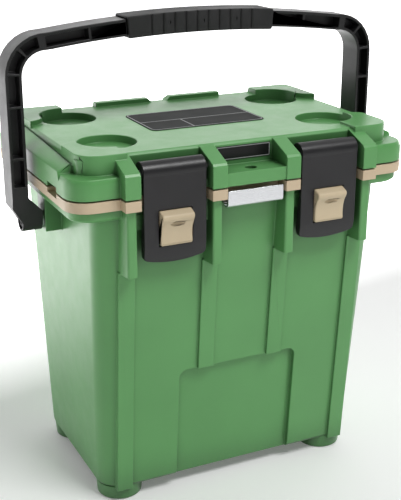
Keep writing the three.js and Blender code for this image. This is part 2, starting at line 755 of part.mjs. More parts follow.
/** Side view of the plate: flat, then curling in at the bottom. */
function latchSkinProfile() {
  const { front, wall, pin_z } = LATCH;
  const shape = new THREE.Shape();
  shape.moveTo(front, pin_z);
  shape.lineTo(front, 356);
  shape.quadraticCurveTo(front, 342, front + 5.5, 328);
  shape.lineTo(front + 5.5 + wall, 329);
  shape.quadraticCurveTo(front + wall, 343, front + wall, 356);
  shape.lineTo(front + wall, pin_z);
  return shape;
}

function latchSideProfile() {
  const { front } = LATCH;
  return [
    [front + 1, 428], [front + 1, 350], [front + 3, 338], [-153, 335],
    [-151.2, 346], [-153, 372], [-157, 388], [-157.5, 424],
  ];
}

function latchPlate() {
  const { half, side_wall, pin, pin_y, pin_z, barrel } = LATCH;
  const low = LATCH_X - half;
  const high = LATCH_X + half;
  const outline = latchOutline();
  const front_view = alongY(outline, -175, -140, 10);
  const skin = alongX(latchSkinProfile(), low, high, 6);
  const walls = [[low, low + side_wall], [high - side_wall, high]].map(([x0, x1]) => {
    return alongX(latchSideProfile(), x0, x1);
  });
  const ears = SIDES.map((side) => {
    const near = LATCH_X + side * BUTTON.ear_from;
    const far = near + side * BUTTON.ear;
    return box([Math.min(near, far), LATCH.front + 1, 350], [Math.max(near, far), BUTTON.ear_back, 366]);
  });
  const plate = join(skin, ...walls, ...ears).intersect(front_view);
  const whole = plate.add(rodX(barrel, low, high, pin_y, pin_z, 28));
  const { half: window_half, bottom, top } = WINDOW;
  return cut(
    whole,
    box([LATCH_X - window_half, -175, bottom], [LATCH_X + window_half, -157.5, top]),
    rodX(pin + GAP, low - 1, high + 1, pin_y, pin_z, 16),
    rodX(BUTTON.pin + GAP, LATCH_X - 30, LATCH_X + 30, BUTTON.pin_y, BUTTON.pin_z, 12));
}

function latchPin() {
  const { pin, pin_y, pin_z, half, pin_into_rib } = LATCH;
  const reach = half + 5 + pin_into_rib - GAP;
  return rodX(pin, LATCH_X - reach, LATCH_X + reach, pin_y, pin_z, 16);
}

/** Side view of the button: finger lip, hollow thumb face, and the nose that meets the keeper. */
function buttonProfile() {
  const shape = new THREE.Shape();
  shape.moveTo(-164.6, 353.6);
  shape.lineTo(-165.4, 355);
  shape.quadraticCurveTo(-163.4, 370, -168.6, 380.5);
  shape.quadraticCurveTo(-171.8, 384.5, -172, 387);
  shape.quadraticCurveTo(-172, 390.4, -169.5, 391.2);
  shape.lineTo(-162, 394.2);
  shape.lineTo(-158.6, 394.4);
  shape.lineTo(-157.2, 391);
  shape.lineTo(-157.2, 371);
  shape.lineTo(-152.8, 370.4);
  shape.lineTo(-152.8, 365.5);
  shape.absarc(BUTTON.pin_y, BUTTON.pin_z, BUTTON.lug, 0, -Math.PI / 2, true);
  shape.lineTo(-159, 353.6);
  return shape;
}

function buttonCap() {
  const block = alongX(buttonProfile(), LATCH_X - BUTTON.half, LATCH_X + BUTTON.half, 6);
  const dimple = new THREE.SphereGeometry(1, 12, 8);
  dimple.scale(8.5, 2.2, 3.6);
  dimple.rotateX(-0.5);
  dimple.translate(LATCH_X, -168.6, 378.6);
  const bore = rodX(BUTTON.pin + GAP, LATCH_X - 30, LATCH_X + 30, BUTTON.pin_y, BUTTON.pin_z, 12);
  return cut(block, solid(dimple), bore);
}

function buttonPin() {
  const reach = BUTTON.ear_from + BUTTON.ear;
  return rodX(BUTTON.pin, LATCH_X - reach, LATCH_X + reach, BUTTON.pin_y, BUTTON.pin_z, 12);
}

/** Torsion spring on the button's pin, as one ring of its outer size. */
function buttonSpring() {
  const inner = BUTTON.pin + GAP;
  const x0 = LATCH_X + BUTTON.half + GAP;
  const x1 = LATCH_X + BUTTON.ear_from - GAP;
  const wire = 1.1;
  const profile = [[inner, x0], [inner + wire, x0], [inner + wire, x1], [inner, x1], [inner, x0]];
  return turnedX(profile, BUTTON.pin_y, BUTTON.pin_z, 16);
}

// ---------------------------------------------------------------- bottle opener

function bottleOpener() {
  const { half, front, back, thick, bottom, top, leg_top } = OPENER;
  const bend = 6;
  const shape = new THREE.Shape();
  shape.moveTo(-front, top);
  shape.lineTo(-front, bottom + bend);
  shape.absarc(-front + bend, bottom + bend, bend, Math.PI, 1.5 * Math.PI);
  shape.lineTo(-back - bend, bottom);
  shape.absarc(-back - bend, bottom + bend, bend, 1.5 * Math.PI, 2 * Math.PI);
  shape.lineTo(-back, leg_top);
  shape.lineTo(-back - thick, leg_top);
  shape.lineTo(-back - thick, bottom + bend);
  shape.absarc(-back - bend, bottom + bend, bend - thick, 0, -Math.PI / 2, true);
  shape.lineTo(-front + bend, bottom + thick);
  shape.absarc(-front + bend, bottom + bend, bend - thick, -Math.PI / 2, -Math.PI, true);
  shape.lineTo(-front + thick, top);
  const channel = alongX(shape, -half, half, 5);
  const holes = SIDES.map((side) => {
    const { x, z, radius } = OPENER_SCREW;
    return rodY(radius + GAP, -back - thick - 1, -back + 1, side * x, z, 12);
  });
  return cut(channel, ...holes);
}

function openerScrew(side) {
  const { x, z, radius, head, head_height, length } = OPENER_SCREW;
  const seat = -OPENER.back - OPENER.thick - GAP;
  const shank = rodY(radius, seat - 0.1, seat + length, side * x, z, 12);
  const cap = rodY(head, seat - head_height, seat, side * x, z, 16);
  const slot = box(
    [side * x - 0.5, seat - head_height - 1, z - head - 1], [side * x + 0.5, seat - 1.4, z + head + 1]);
  return join(shank, cap).subtract(slot);
}

// ---------------------------------------------------------------- handle

/** Point of the right half of the handle's centre line and its outward normal, by distance from the bend. */
function handlePoint(distance) {
  const { arm, corner, bend_z, arch } = HANDLE;
  if (distance <= 0) return { x: arm, z: bend_z + distance, nx: 1, nz: 0 };
  const tilt = (arm - corner) / arch;
  const turn = Math.PI / 2 - tilt;
  const corner_length = corner * turn;
  if (distance <= corner_length) {
    const angle = distance / corner;
    const [cos, sin] = [Math.cos(angle), Math.sin(angle)];
    return { x: arm - corner + corner * cos, z: bend_z + corner * sin, nx: cos, nz: sin };
  }
  const angle = tilt - (distance - corner_length) / arch;
  const end_z = bend_z + corner * Math.sin(turn);
  const [cos, sin] = [Math.cos(angle), Math.sin(angle)];
  return { x: arch * sin, z: end_z + arch * (cos - Math.cos(tilt)), nx: sin, nz: cos };
}

/** Distance along the centre line from the bend to the middle of the crossbar. */
function handleHalfLength() {
  const { arm, corner, arch } = HANDLE;
  const tilt = (arm - corner) / arch;
  return corner * (Math.PI / 2 - tilt) + arch * tilt;
}

/** Outline that follows the centre line between two distances, half_in and half_out to its sides. */
function handleStrip(from, to, half_in, half_out, steps) {
  const outer = [];
  const inner = [];
  for (let step = 0; step <= steps; step += 1) {
    const { x, z, nx, nz } = handlePoint(from + (to - from) * step / steps);
    outer.push([x + nx * half_out, z + nz * half_out]);
    inner.unshift([x - nx * half_in, z - nz * half_in]);
  }
  return [...inner, ...outer];
}

const HANDLE_END = handleHalfLength();
const ARM_FOOT = HANDLE.foot_z - HANDLE.bend_z;
const GRIP_START = HANDLE_END - GRIP.half_length;
// Distances along the centre line of the cross ribs that brace the channel
const BRACES = [ARM_FOOT, -96, -34.4, 4, 32, 56, 112, GRIP_START];

/** Pockets between the braces, one side of the web. */
function handlePockets(face) {
  const { web, edge, rib, half, half_depth } = HANDLE;
  const reach = half - edge;
  const pockets = [];
  for (let index = 0; index < BRACES.length - 1; index += 1) {
    const from = BRACES[index] + rib / 2;
    const to = BRACES[index + 1] - rib / 2;
    const outline = handleStrip(from, to, reach, reach, from < 0 ? 1 : 3);
    const [y0, y1] = face < 0 ? [-half_depth - 1, -web] : [web, half_depth + 1];
    pockets.push(alongY(outline, y0, y1));
  }
  return pockets;
}

/** Lower end of an arm, stepping in to the pivot hub. */
function armFoot() {
  const { arm, half, half_depth, foot_z, heel_z } = HANDLE;
  const front_view = [
    [HUB.inner, PIVOT_Z], [HUB.outer, PIVOT_Z], [HUB.outer + 4, heel_z - 14], [arm + half, heel_z],
    [arm + half, foot_z + 1], [arm - half, foot_z + 1], [arm - half, heel_z + 12],
    [HUB.inner, PIVOT_Z + HUB.radius + 2],
  ];
  const side_view = [
    [-HUB.radius, PIVOT_Z], [HUB.radius, PIVOT_Z], [half_depth, foot_z - 14], [half_depth, foot_z + 2],
    [-half_depth, foot_z + 2], [-half_depth, foot_z - 14],
  ];
  const block = alongY(front_view, -half_depth, half_depth);
  const trimmed = block.intersect(alongX(side_view, HUB.inner - 5, arm + half + 5));
  return trimmed.add(rodX(HUB.radius, HUB.inner, HUB.outer, 0, PIVOT_Z, 32));
}

function handleHalf() {
  const { half, half_depth } = HANDLE;
  const bar = alongY(handleStrip(ARM_FOOT, 0, half, half, 1), -half_depth, half_depth);
  const bend = alongY(handleStrip(-0.01, 72, half, half, 9), -half_depth, half_depth);
  const crossbar = alongY(handleStrip(71.9, GRIP_START, half, half, 4), -half_depth, half_depth);
  const core = alongY(
    handleStrip(GRIP_START - 0.1, HANDLE_END + 0.01, GRIP.core_half, GRIP.core_half, 6),
    -GRIP.core_half_depth, GRIP.core_half_depth);
  const bore = rodX(HUB.bore, HUB.inner - 1, HUB.outer + 1, 0, PIVOT_Z);
  const recess = rodX(HUB.recess, HUB.outer - HUB.recess_depth, HANDLE.arm + half + 5, 0, PIVOT_Z);
  const bar_and_foot = join(bar, bend, crossbar, core, armFoot());
  return cut(bar_and_foot, ...handlePockets(-1), ...handlePockets(1), bore, recess);
}

function handleFrame() {
  const right = handleHalf();
  return right.add(right.mirror([1, 0, 0]));
}

function handleGrip() {
  const start = GRIP_START + 1;
  const sleeve = alongY(
    handleStrip(start, HANDLE_END + 0.01, GRIP.half, GRIP.half, 8), -GRIP.half_depth, GRIP.half_depth);
  const hole = alongY(
    handleStrip(start - 1, HANDLE_END + 1, GRIP.core_half + GAP, GRIP.core_half + GAP, 6),
    -GRIP.core_half_depth - GAP, GRIP.core_half_depth + GAP);
  const right = sleeve.subtract(hole);
  return right.add(right.mirror([1, 0, 0]));
}

function pivotInsert(side) {
  const radius = HUB.bore - GAP;
  const inner = PIVOT_BOLT.radius + GAP;
  const [x0, x1] = [PIVOT_BOLT.tip - 1, BOSS.outer - GAP];
  const profile = [[inner, x0], [radius, x0], [radius, x1], [inner, x1], [inner, x0]];
  return onSide(side, turnedX(profile, 0, PIVOT_Z));
}

function pivotWasher(side) {
  const inner = PIVOT_BOLT.radius + GAP;
  const [x0, x1] = [BOSS.outer + GAP, HUB.inner - GAP];
  const profile = [[inner, x0], [HUB.radius - 1.4, x0], [HUB.radius - 1.4, x1], [inner, x1], [inner, x0]];
  return onSide(side, turnedX(profile, 0, PIVOT_Z));
}

function pivotBush(side) {
  const radius = HUB.bore - GAP;
  const inner = PIVOT_BOLT.radius + GAP;
  const collar = HUB.outer - HUB.recess_depth + GAP;
  const profile = [
    [inner, HUB.inner], [radius, HUB.inner], [radius, collar], [HUB.recess - GAP, collar],
    [HUB.recess - GAP, collar + 1.4], [inner, collar + 1.4], [inner, HUB.inner],
  ];
  return onSide(side, turnedX(profile, 0, PIVOT_Z));
}

function pivotBolt(side) {
  const { radius, tip, head, head_height, socket } = PIVOT_BOLT;
  const seat = HUB.outer - HUB.recess_depth + GAP + 1.4 + GAP;
  const top = seat + head_height;
  const profile = [
    [0, tip], [radius, tip], [radius, seat], [head, seat], [head, top - 1], [head - 1, top],
    [socket, top], [socket, top - 2.5], [0, top - 2.5],
  ];
  return onSide(side, turnedX(profile, 0, PIVOT_Z));
}

// ---------------------------------------------------------------- assembly

const cooler = new THREE.Group();

function place(name, shape, material) {
  const mesh = new THREE.Mesh(geometryOf(shape), material);
  mesh.name = name;
  cooler.add(mesh);
}

place('body_shell', bodyShell(), GREEN);
place('body_foam', bodyFoam(), FOAM);
place('body_liner', bodyLiner(), TAN);
footPlaces().forEach(([x, y]) => {
  const name = `foot_pad_${y < 0 ? 'front' : 'rear'}_${x < 0 ? 'left' : 'right'}`;
  place(name, footPad(x, y), RUBBER);
});
place('bottle_opener', bottleOpener(), STEEL);

place('lid_shell', lidShell(), GREEN);
place('padlock_shelf', padlockShelf(), GREEN);
place('lid_foam', lidFoam(), FOAM);
place('lid_panel', lidPanel(), TAN);
place('lid_seal', lidSeal(), RUBBER);
place('lid_label', lidLabel(), PLATE_BLACK);
place('front_nameplate', frontNameplate(), PLATE_BLACK);

place('handle_frame', handleFrame(), BLACK_PLASTIC);
place('handle_grip', handleGrip(), RUBBER);

SIDES.forEach((side) => {
  const end = side < 0 ? 'left' : 'right';
  place(`opener_screw_${end}`, openerScrew(side), STEEL);
  place(`hinge_pin_${end}`, hingePin(side), STEEL);
  place(`latch_plate_${end}`, onSide(side, latchPlate()), BLACK_PLASTIC);
  place(`latch_pin_${end}`, onSide(side, latchPin()), STEEL);
  place(`latch_button_${end}`, onSide(side, buttonCap()), TAN);
  place(`button_pin_${end}`, onSide(side, buttonPin()), STEEL);
  place(`button_spring_${end}`, onSide(side, buttonSpring()), STEEL);
  place(`pivot_insert_${end}`, pivotInsert(side), BRASS);
  place(`pivot_washer_${end}`, pivotWasher(side), STEEL);
  place(`pivot_bush_${end}`, pivotBush(side), BLACK_PLASTIC);
  place(`pivot_bolt_${end}`, pivotBolt(side), STEEL);
});

export default cooler;
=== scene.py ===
"""Finished surfaces of the hard-sided cooler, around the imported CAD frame.

+Z is up and the front faces -Y, as in the frame. The studio is laid out in metres. Outlines, places and
boxes of the added shapes are in millimetres, which mesh_object scales. Other lengths are written as
millimetres times MM.
"""

import math

import bmesh
import bpy
from mathutils import Matrix, Vector


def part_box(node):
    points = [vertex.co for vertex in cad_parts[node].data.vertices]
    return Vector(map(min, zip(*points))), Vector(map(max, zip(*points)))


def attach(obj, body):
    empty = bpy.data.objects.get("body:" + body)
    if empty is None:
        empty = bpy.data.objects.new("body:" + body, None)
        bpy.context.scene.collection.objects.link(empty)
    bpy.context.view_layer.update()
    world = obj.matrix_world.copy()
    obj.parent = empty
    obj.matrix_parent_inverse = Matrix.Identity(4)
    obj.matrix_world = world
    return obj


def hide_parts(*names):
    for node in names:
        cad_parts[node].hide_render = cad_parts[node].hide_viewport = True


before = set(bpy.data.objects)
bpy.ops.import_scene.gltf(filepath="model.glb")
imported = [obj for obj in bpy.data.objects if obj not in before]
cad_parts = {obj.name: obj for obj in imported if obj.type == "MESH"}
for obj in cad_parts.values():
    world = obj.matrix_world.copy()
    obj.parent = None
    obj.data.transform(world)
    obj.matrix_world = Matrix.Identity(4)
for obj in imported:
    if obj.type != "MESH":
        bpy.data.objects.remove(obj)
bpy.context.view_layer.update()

MM = 0.001
SIDES = {"left": -1, "right": 1}


def add_object(name, data):
    item = bpy.data.objects.new(name, data)
    bpy.context.scene.collection.objects.link(item)
    return item


# ---------------------------------------------------------------- shader nodes

def new_material(name):
    material = bpy.data.materials.new(name)
    material.use_nodes = True
    return material, material.node_tree, material.node_tree.nodes["Principled BSDF"]


def add_noise(tree, scale, detail=3, roughness=0.5):
    """Noise in the object's own coordinates, its scale in features per metre."""
    place = tree.nodes.new("ShaderNodeTexCoord")
    noise = tree.nodes.new("ShaderNodeTexNoise")
    noise.inputs["Scale"].default_value = scale
    noise.inputs["Detail"].default_value = detail
    noise.inputs["Roughness"].default_value = roughness
    tree.links.new(place.outputs["Object"], noise.inputs["Vector"])
    return noise.outputs["Fac"]


def add_range(tree, value, low, high, start=0.3, end=0.7):
    """Goes from low to high while the value goes from start to end, and stays level outside them."""
    mapping = tree.nodes.new("ShaderNodeMapRange")
    mapping.inputs["From Min"].default_value = start
    mapping.inputs["From Max"].default_value = end
    mapping.inputs["To Min"].default_value = low
    mapping.inputs["To Max"].default_value = high
    tree.links.new(value, mapping.inputs["Value"])
    return mapping.outputs["Result"]


def add_distance(tree, coordinates, direction):
    """How far each point lies along a direction."""
    place = tree.nodes.new("ShaderNodeTexCoord")
    along = tree.nodes.new("ShaderNodeVectorMath")
    along.operation = "DOT_PRODUCT"
    along.inputs[1].default_value = direction
    tree.links.new(place.outputs[coordinates], along.inputs[0])
    return along.outputs["Value"]


def add_math(tree, operation, first, second):
    node = tree.nodes.new("ShaderNodeMath")
    node.operation = operation
    tree.links.new(first, node.inputs[0])
    tree.links.new(second, node.inputs[1])
    return node.outputs["Value"]


def add_two_tones(tree, value, first, second):
    ramp = tree.nodes.new("ShaderNodeValToRGB")
    ramp.color_ramp.elements[0].position = 0.3
    ramp.color_ramp.elements[0].color = (*first, 1)
    ramp.color_ramp.elements[1].position = 0.7
    ramp.color_ramp.elements[1].color = (*second, 1)
    tree.links.new(value, ramp.inputs["Fac"])
    return ramp.outputs["Color"]


def add_bump(tree, shader, layers):
    """Stacks bump layers, each (height output, depth in metres)."""
    normal = None
    for height, depth in layers:
        bump = tree.nodes.new("ShaderNodeBump")
        bump.inputs["Strength"].default_value = 1
        bump.inputs["Distance"].default_value = depth
        tree.links.new(height, bump.inputs["Height"])
        if normal:
            tree.links.new(normal, bump.inputs["Normal"])
        normal = bump.outputs["Normal"]
    tree.links.new(normal, shader.inputs["Normal"])


# ---------------------------------------------------------------- camera, light and floor

CAMERA_PLACE = (-561.8 * MM, -1189.4 * MM, 747.2 * MM)
CAMERA_YAW = -25.55
CAMERA_PITCH = -19.64
CAMERA_LENS = 75.1
CAMERA_SENSOR = 36
KEY_PLACE = (0.6, -1.4, 2.5)
KEY_TARGET = (0, 0, 0.25)
KEY_SIZE = (1.2, 0.9)
KEY_POWER = 44
BACKDROP_DIRECTION = (0.42, 0.87, 0.26)  # where the bright side of the surroundings lies
FLOOR_GLOW_DIRECTION = (-0.2, 0.98, 0)  # the floor's glow depends on the distance along this


def add_camera():
    data = bpy.data.cameras.new("camera")
    data.sensor_width = CAMERA_SENSOR
    data.lens = CAMERA_LENS
    camera = add_object("camera", data)
    camera.location = CAMERA_PLACE
    camera.rotation_euler = (math.radians(90 + CAMERA_PITCH), 0, math.radians(CAMERA_YAW))
    bpy.context.scene.camera = camera


def add_key_light():
    """Large softbox, high in front of the object."""
    data = bpy.data.lights.new("key", "AREA")
    data.shape = "RECTANGLE"
    data.size, data.size_y = KEY_SIZE
    data.energy = KEY_POWER
    light = add_object("key", data)
    light.location = KEY_PLACE
    aim = Vector(KEY_TARGET) - Vector(KEY_PLACE)
    light.rotation_euler = aim.to_track_quat("-Z", "Y").to_euler()


def add_world():
    """White surroundings, dim in front and bright towards the backdrop."""
    world = bpy.data.worlds.new("studio")
    world.use_nodes = True
    tree = world.node_tree
    background = tree.nodes["Background"]
    background.inputs["Color"].default_value = (1, 1, 1, 1)
    towards_backdrop = add_distance(tree, "Generated", BACKDROP_DIRECTION)
    glow = add_range(tree, towards_backdrop, low=0.12, high=1, start=0.2, end=0.95)
    tree.links.new(glow, background.inputs["Strength"])
    bpy.context.scene.world = world
    bpy.context.scene.view_settings.view_transform = "Standard"


def floor_material():
    """Matt paper, dim around the object, glowing behind it and far in front as if lit from there."""
    material, tree, shader = new_material("studio_paper")
    tones = add_two_tones(tree, add_noise(tree, scale=3, detail=2), (0.9, 0.9, 0.9), (0.92, 0.92, 0.92))
    tree.links.new(tones, shader.inputs["Base Color"])
    shader.inputs["Roughness"].default_value = 0.9
    shader.inputs["Specular IOR Level"].default_value = 0.1
    shader.inputs["Emission Color"].default_value = (1, 1, 1, 1)
    behind = add_distance(tree, "Object", FLOOR_GLOW_DIRECTION)
    rising = add_range(tree, behind, low=0.15, high=2.2, start=0.25, end=0.8)
    fading = add_range(tree, behind, low=0, high=1.3, start=1.8, end=4)
    far_front = add_range(tree, behind, low=0.5, high=0, start=-9, end=-3)
    near_and_behind = add_math(tree, "SUBTRACT", rising, fading)
    glow = add_math(tree, "ADD", near_and_behind, far_front)
    tree.links.new(glow, shader.inputs["Emission Strength"])
    return material


def add_floor():
    """Pale floor that runs far past the view and turns up into a backdrop."""
    half_width, front, back = 40, -40, 7
    rise, height, steps = 2, 6, 12
    mesh = bpy.data.meshes.new("studio_floor")
    profile = [(front, 0), (back, 0)]
    for step in range(1, steps + 1):
        angle = math.pi / 2 * step / steps
        profile.append((back + rise * math.sin(angle), rise * (1 - math.cos(angle))))
    profile.append((back + rise, height))
    points = [(x, y, z) for y, z in profile for x in (-half_width, half_width)]
    faces = [(2 * k, 2 * k + 1, 2 * k + 3, 2 * k + 2) for k in range(len(profile) - 1)]
    mesh.from_pydata(points, [], faces)
    floor = add_object("studio_floor", mesh)
    floor.data.materials.append(floor_material())


# ---------------------------------------------------------------- materials

def tinted(colour, factor):
    return tuple(channel * factor for channel in colour)


def paint_recess_shade(tree, colour):
    """Painted shade: darkens a colour where nearby surfaces close it in, as shadow falls in corners and
    recesses.
    """
    reach = 80 * MM
    openness = tree.nodes.new("ShaderNodeAmbientOcclusion")
    openness.samples = 8
    openness.inputs["Distance"].default_value = reach
    depth = add_range(tree, openness.outputs["AO"], low=0.3, high=1, start=0.2, end=0.85)
    scaled = tree.nodes.new("ShaderNodeVectorMath")
    scaled.operation = "SCALE"
    tree.links.new(colour, scaled.inputs[0])
    tree.links.new(depth, scaled.inputs["Scale"])
    return scaled.outputs["Vector"]


def moulded_plastic(name, colour, roughness, grain=0.02 * MM, spread=0.05, specular=0.5, painted_shade=False):
    """Injection-moulded plastic: fine spark-eroded grain, slight mottling, gentle sink waves, and painted
    shade in its recesses when asked.
    """
    material, tree, shader = new_material(name)
    shader.inputs["Specular IOR Level"].default_value = specular
    mottle = add_noise(tree, scale=9, detail=4)
    tones = add_two_tones(tree, mottle, tinted(colour, 1 - spread), tinted(colour, 1 + spread))
    if painted_shade:
        # painted shade: the colour is darkened in recesses, where shadow falls
        tones = paint_recess_shade(tree, tones)
    tree.links.new(tones, shader.inputs["Base Color"])
    handling = add_noise(tree, scale=42, detail=5, roughness=0.6)
    gloss = add_range(tree, handling, roughness - 0.04, roughness + 0.05)
    tree.links.new(gloss, shader.inputs["Roughness"])
    fine = add_noise(tree, scale=1900, detail=2, roughness=0.6)
    waves = add_noise(tree, scale=14, detail=1)
    wave_depth = 0.35 * MM
    add_bump(tree, shader, [(waves, wave_depth), (fine, grain)])
    return material


def rubber(name, colour):
    """Matt rubber with a dusty, slightly pitted skin."""
    material, tree, shader = new_material(name)
    mottle = add_noise(tree, scale=60, detail=5)
    tones = add_two_tones(tree, mottle, tinted(colour, 0.8), tinted(colour, 1.25))
    tree.links.new(tones, shader.inputs["Base Color"])
    dust = add_range(tree, add_noise(tree, scale=25), low=0.52, high=0.66)
    tree.links.new(dust, shader.inputs["Roughness"])
    pits = add_noise(tree, scale=1400, roughness=0.7)
    pit_depth = 0.05 * MM
    add_bump(tree, shader, [(pits, pit_depth)])
    return material


def brushed_metal(name, colour, roughness):
    """Metal with fine lines drawn along X."""
    material, tree, shader = new_material(name)
    shader.inputs["Metallic"].default_value = 1
    lines_along, lines_across = 30, 2600
    place = tree.nodes.new("ShaderNodeTexCoord")
    stretch = tree.nodes.new("ShaderNodeMapping")
    stretch.inputs["Scale"].default_value = (lines_along, lines_across, lines_across)
    lines = tree.nodes.new("ShaderNodeTexNoise")
    lines.inputs["Scale"].default_value = 1
    lines.inputs["Detail"].default_value = 3
    tree.links.new(place.outputs["Object"], stretch.inputs["Vector"])
    tree.links.new(stretch.outputs["Vector"], lines.inputs["Vector"])
    height = lines.outputs["Fac"]
    tones = add_two_tones(tree, height, tinted(colour, 0.9), tinted(colour, 1.04))
    tree.links.new(tones, shader.inputs["Base Color"])
    gloss = add_range(tree, height, roughness * 0.8, roughness * 1.3)
    tree.links.new(gloss, shader.inputs["Roughness"])
    line_depth = 0.012 * MM
    add_bump(tree, shader, [(height, line_depth)])
    return material


# the green plastic gets painted shade in its recesses
GREEN = moulded_plastic(
    "green_polyethylene", (0.125, 0.37, 0.118), 0.34, grain=0.03 * MM, painted_shade=True)
TAN = moulded_plastic("tan_polypropylene", (0.67, 0.53, 0.36), 0.42)
BUTTON_TAN = moulded_plastic("tan_nylon", (0.66, 0.54, 0.36), 0.45)
BLACK_PLASTIC = moulded_plastic(
    "black_glass_filled_nylon", (0.017, 0.0165, 0.018), 0.36, grain=0.04 * MM, spread=0.15, specular=0.45)
HANDLE_BLACK = moulded_plastic(
    "handle_black_nylon", (0.014, 0.014, 0.0145), 0.38, grain=0.04 * MM, spread=0.15, specular=0.4)
RUBBER = rubber("moulded_rubber", (0.010, 0.010, 0.0105))
STAINLESS = brushed_metal("rolled_stainless", (0.78, 0.79, 0.81), 0.26)
STEEL = brushed_metal("plain_steel", (0.55, 0.55, 0.57), 0.3)
DARK_STEEL = brushed_metal("black_oxide_steel", (0.02, 0.02, 0.021), 0.6)
BRASS = brushed_metal("knurled_brass", (0.62, 0.45, 0.18), 0.3)
FOAM = moulded_plastic("rigid_foam", (0.76, 0.69, 0.40), 0.85, grain=0.3 * MM, spread=0.12)
LABEL_BLACK = moulded_plastic(
    "label_black", (0.035, 0.037, 0.036), 0.7, grain=0.015 * MM, spread=0.1, specular=0.1)
PLATE_BLACK = moulded_plastic(
    "nameplate_black", (0.008, 0.008, 0.0085), 0.3, grain=0.01 * MM, spread=0.1, specular=0.3)
LABEL_GREY = moulded_plastic("label_grey_ink", (0.36, 0.37, 0.37), 0.6, grain=0.01 * MM, specular=0.2)


# ---------------------------------------------------------------- mesh helpers

FLAT_ANGLE = 0.5  # triangles that meet at less than this become one face
EDGE_ANGLE = 28  # edges sharper than this are rounded
CORNER_STEPS = 8  # straight pieces in each quarter turn of a rounded rectangle


def node_box(name):
    """Lowest and highest corner of a CAD node in millimetres."""
    low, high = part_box(name)
    return low / MM, high / MM


def apply_modifiers(item):
    """Replaces an object's mesh with what its modifiers make."""
    bpy.context.view_layer.update()
    graph = bpy.context.evaluated_depsgraph_get()
    made = bpy.data.meshes.new_from_object(item.evaluated_get(graph))
    item.modifiers.clear()
    item.data = made


def clean(mesh, weld=0.01 * MM):
    """Welds doubles and merges triangles that lie in one plane."""
    work = bmesh.new()
    work.from_mesh(mesh)
    bmesh.ops.remove_doubles(work, verts=work.verts, dist=weld)
    bmesh.ops.dissolve_degenerate(work, edges=work.edges, dist=weld)
    bmesh.ops.dissolve_limit(
        work, angle_limit=math.radians(FLAT_ANGLE), verts=work.verts, edges=work.edges)
    bmesh.ops.recalc_face_normals(work, faces=work.faces)
    work.to_mesh(mesh)
    work.free()


def weight_normals(item):
    """Smooth shading that keeps large faces flat."""
    item.data.shade_smooth()
    weights = item.modifiers.new("flat_faces", "WEIGHTED_NORMAL")
    weights.weight = 90
    apply_modifiers(item)


def round_edges(item, width, segments=3):
    bevel = item.modifiers.new("rounding", "BEVEL")
    bevel.width = width
    bevel.segments = segments
    bevel.limit_method = "ANGLE"
    bevel.angle_limit = math.radians(EDGE_ANGLE)
    bevel.use_clamp_overlap = False
    apply_modifiers(item)
    weight_normals(item)


def combine(item, other, operation):
    """Boolean of two closed objects; the second one is used up."""
    step = item.modifiers.new(operation, "BOOLEAN")
    step.operation = operation
    step.solver = "MANIFOLD"
    step.object = other
    apply_modifiers(item)
    bpy.data.objects.remove(other)


def cut(item, *tools):
    for tool in tools:
        combine(item, tool, "DIFFERENCE")


def join(item, other):
    combine(item, other, "UNION")


def mesh_object(name, points, faces):
    """Closed object from points in millimetres, its faces turned outwards."""
    mesh = bpy.data.meshes.new(name)
    mesh.from_pydata([Vector(point) * MM for point in points], [], faces)
    item = add_object(name, mesh)
    work = bmesh.new()
    work.from_mesh(mesh)
    bmesh.ops.recalc_face_normals(work, faces=work.faces)
    work.to_mesh(mesh)
    work.free()
    return item


def prism(name, outline, start, end, axis):
    """Outline extruded between two places along an axis: 'x' takes (y, z), 'y' (x, z), 'z' (x, y)."""
    def place(u, v, w):
        return {"x": (w, u, v), "y": (u, w, v), "z": (u, v, w)}[axis]
    count = len(outline)
    points = [place(u, v, w) for w in (start, end) for u, v in outline]
    faces = [tuple(range(count)), tuple(range(2 * count - 1, count - 1, -1))]
    faces += [(k, (k + 1) % count, (k + 1) % count + count, k + count) for k in range(count)]
    return mesh_object(name, points, faces)


def ellipsoid(name, centre, radii, tilt):
    """Closed ellipsoid in millimetres, tilted about X by an angle in degrees."""
    work = bmesh.new()
    bmesh.ops.create_uvsphere(work, u_segments=48, v_segments=24, radius=1)
    mesh = bpy.data.meshes.new(name)
    work.to_mesh(mesh)
    work.free()
    turn = Matrix.Rotation(math.radians(tilt), 4, "X") @ Matrix.Diagonal((*radii, 1))
    mesh.transform(Matrix.Scale(MM, 4) @ Matrix.Translation(centre) @ turn)
    return add_object(name, mesh)


def arc(centre, radius, start, end, steps):
    """Points of an arc, its angles in degrees."""
    angles = [math.radians(start + (end - start) * step / steps) for step in range(steps + 1)]
    return [(centre[0] + radius * math.cos(a), centre[1] + radius * math.sin(a)) for a in angles]


def rectangle(left, bottom, right, top):
    return [(left, bottom), (right, bottom), (right, top), (left, top)]


def rounded_rectangle(low, high, inset, radius):
    """Rectangle between two corners, drawn in by an inset, with rounded corners."""
    left, bottom = low[0] + inset + radius, low[1] + inset + radius
    right, top = high[0] - inset - radius, high[1] - inset - radius
    corners = [(right, bottom, -90), (right, top, 0), (left, top, 90), (left, bottom, 180)]
    turns = [arc((u, v), radius, start, start + 90, CORNER_STEPS) for u, v, start in corners]
    return [point for turn in turns for point in turn]


def border(name, outer, inner, start, end, axis):
    """Thin line between two outlines, lying on a plate."""
    line = prism(name, outer, start, end, axis)
    cut(line, prism("hole", inner, start - 1, end + 1, axis))
    return line


def copy_of(node, name, weld=0.01 * MM):
    """Cleaned copy of a CAD node's mesh as a new object."""
    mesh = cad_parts[node].data.copy()
    mesh.name = name
    item = add_object(name, mesh)
    clean(mesh, weld)
    return item


def finish(item, body, material, slot, *nodes):
    """Gives a piece its material and puts it on its body in place of CAD nodes."""
    item.data.materials.clear()
    item.data.materials.append(material)
    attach(item, body)
    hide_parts(*nodes)


# ---------------------------------------------------------------- body

def make_body():
    body = copy_of("body_shell", "green_body")
    round_edges(body, 1.0 * MM)
    finish(body, "base", GREEN, "green_shell", "body_shell")


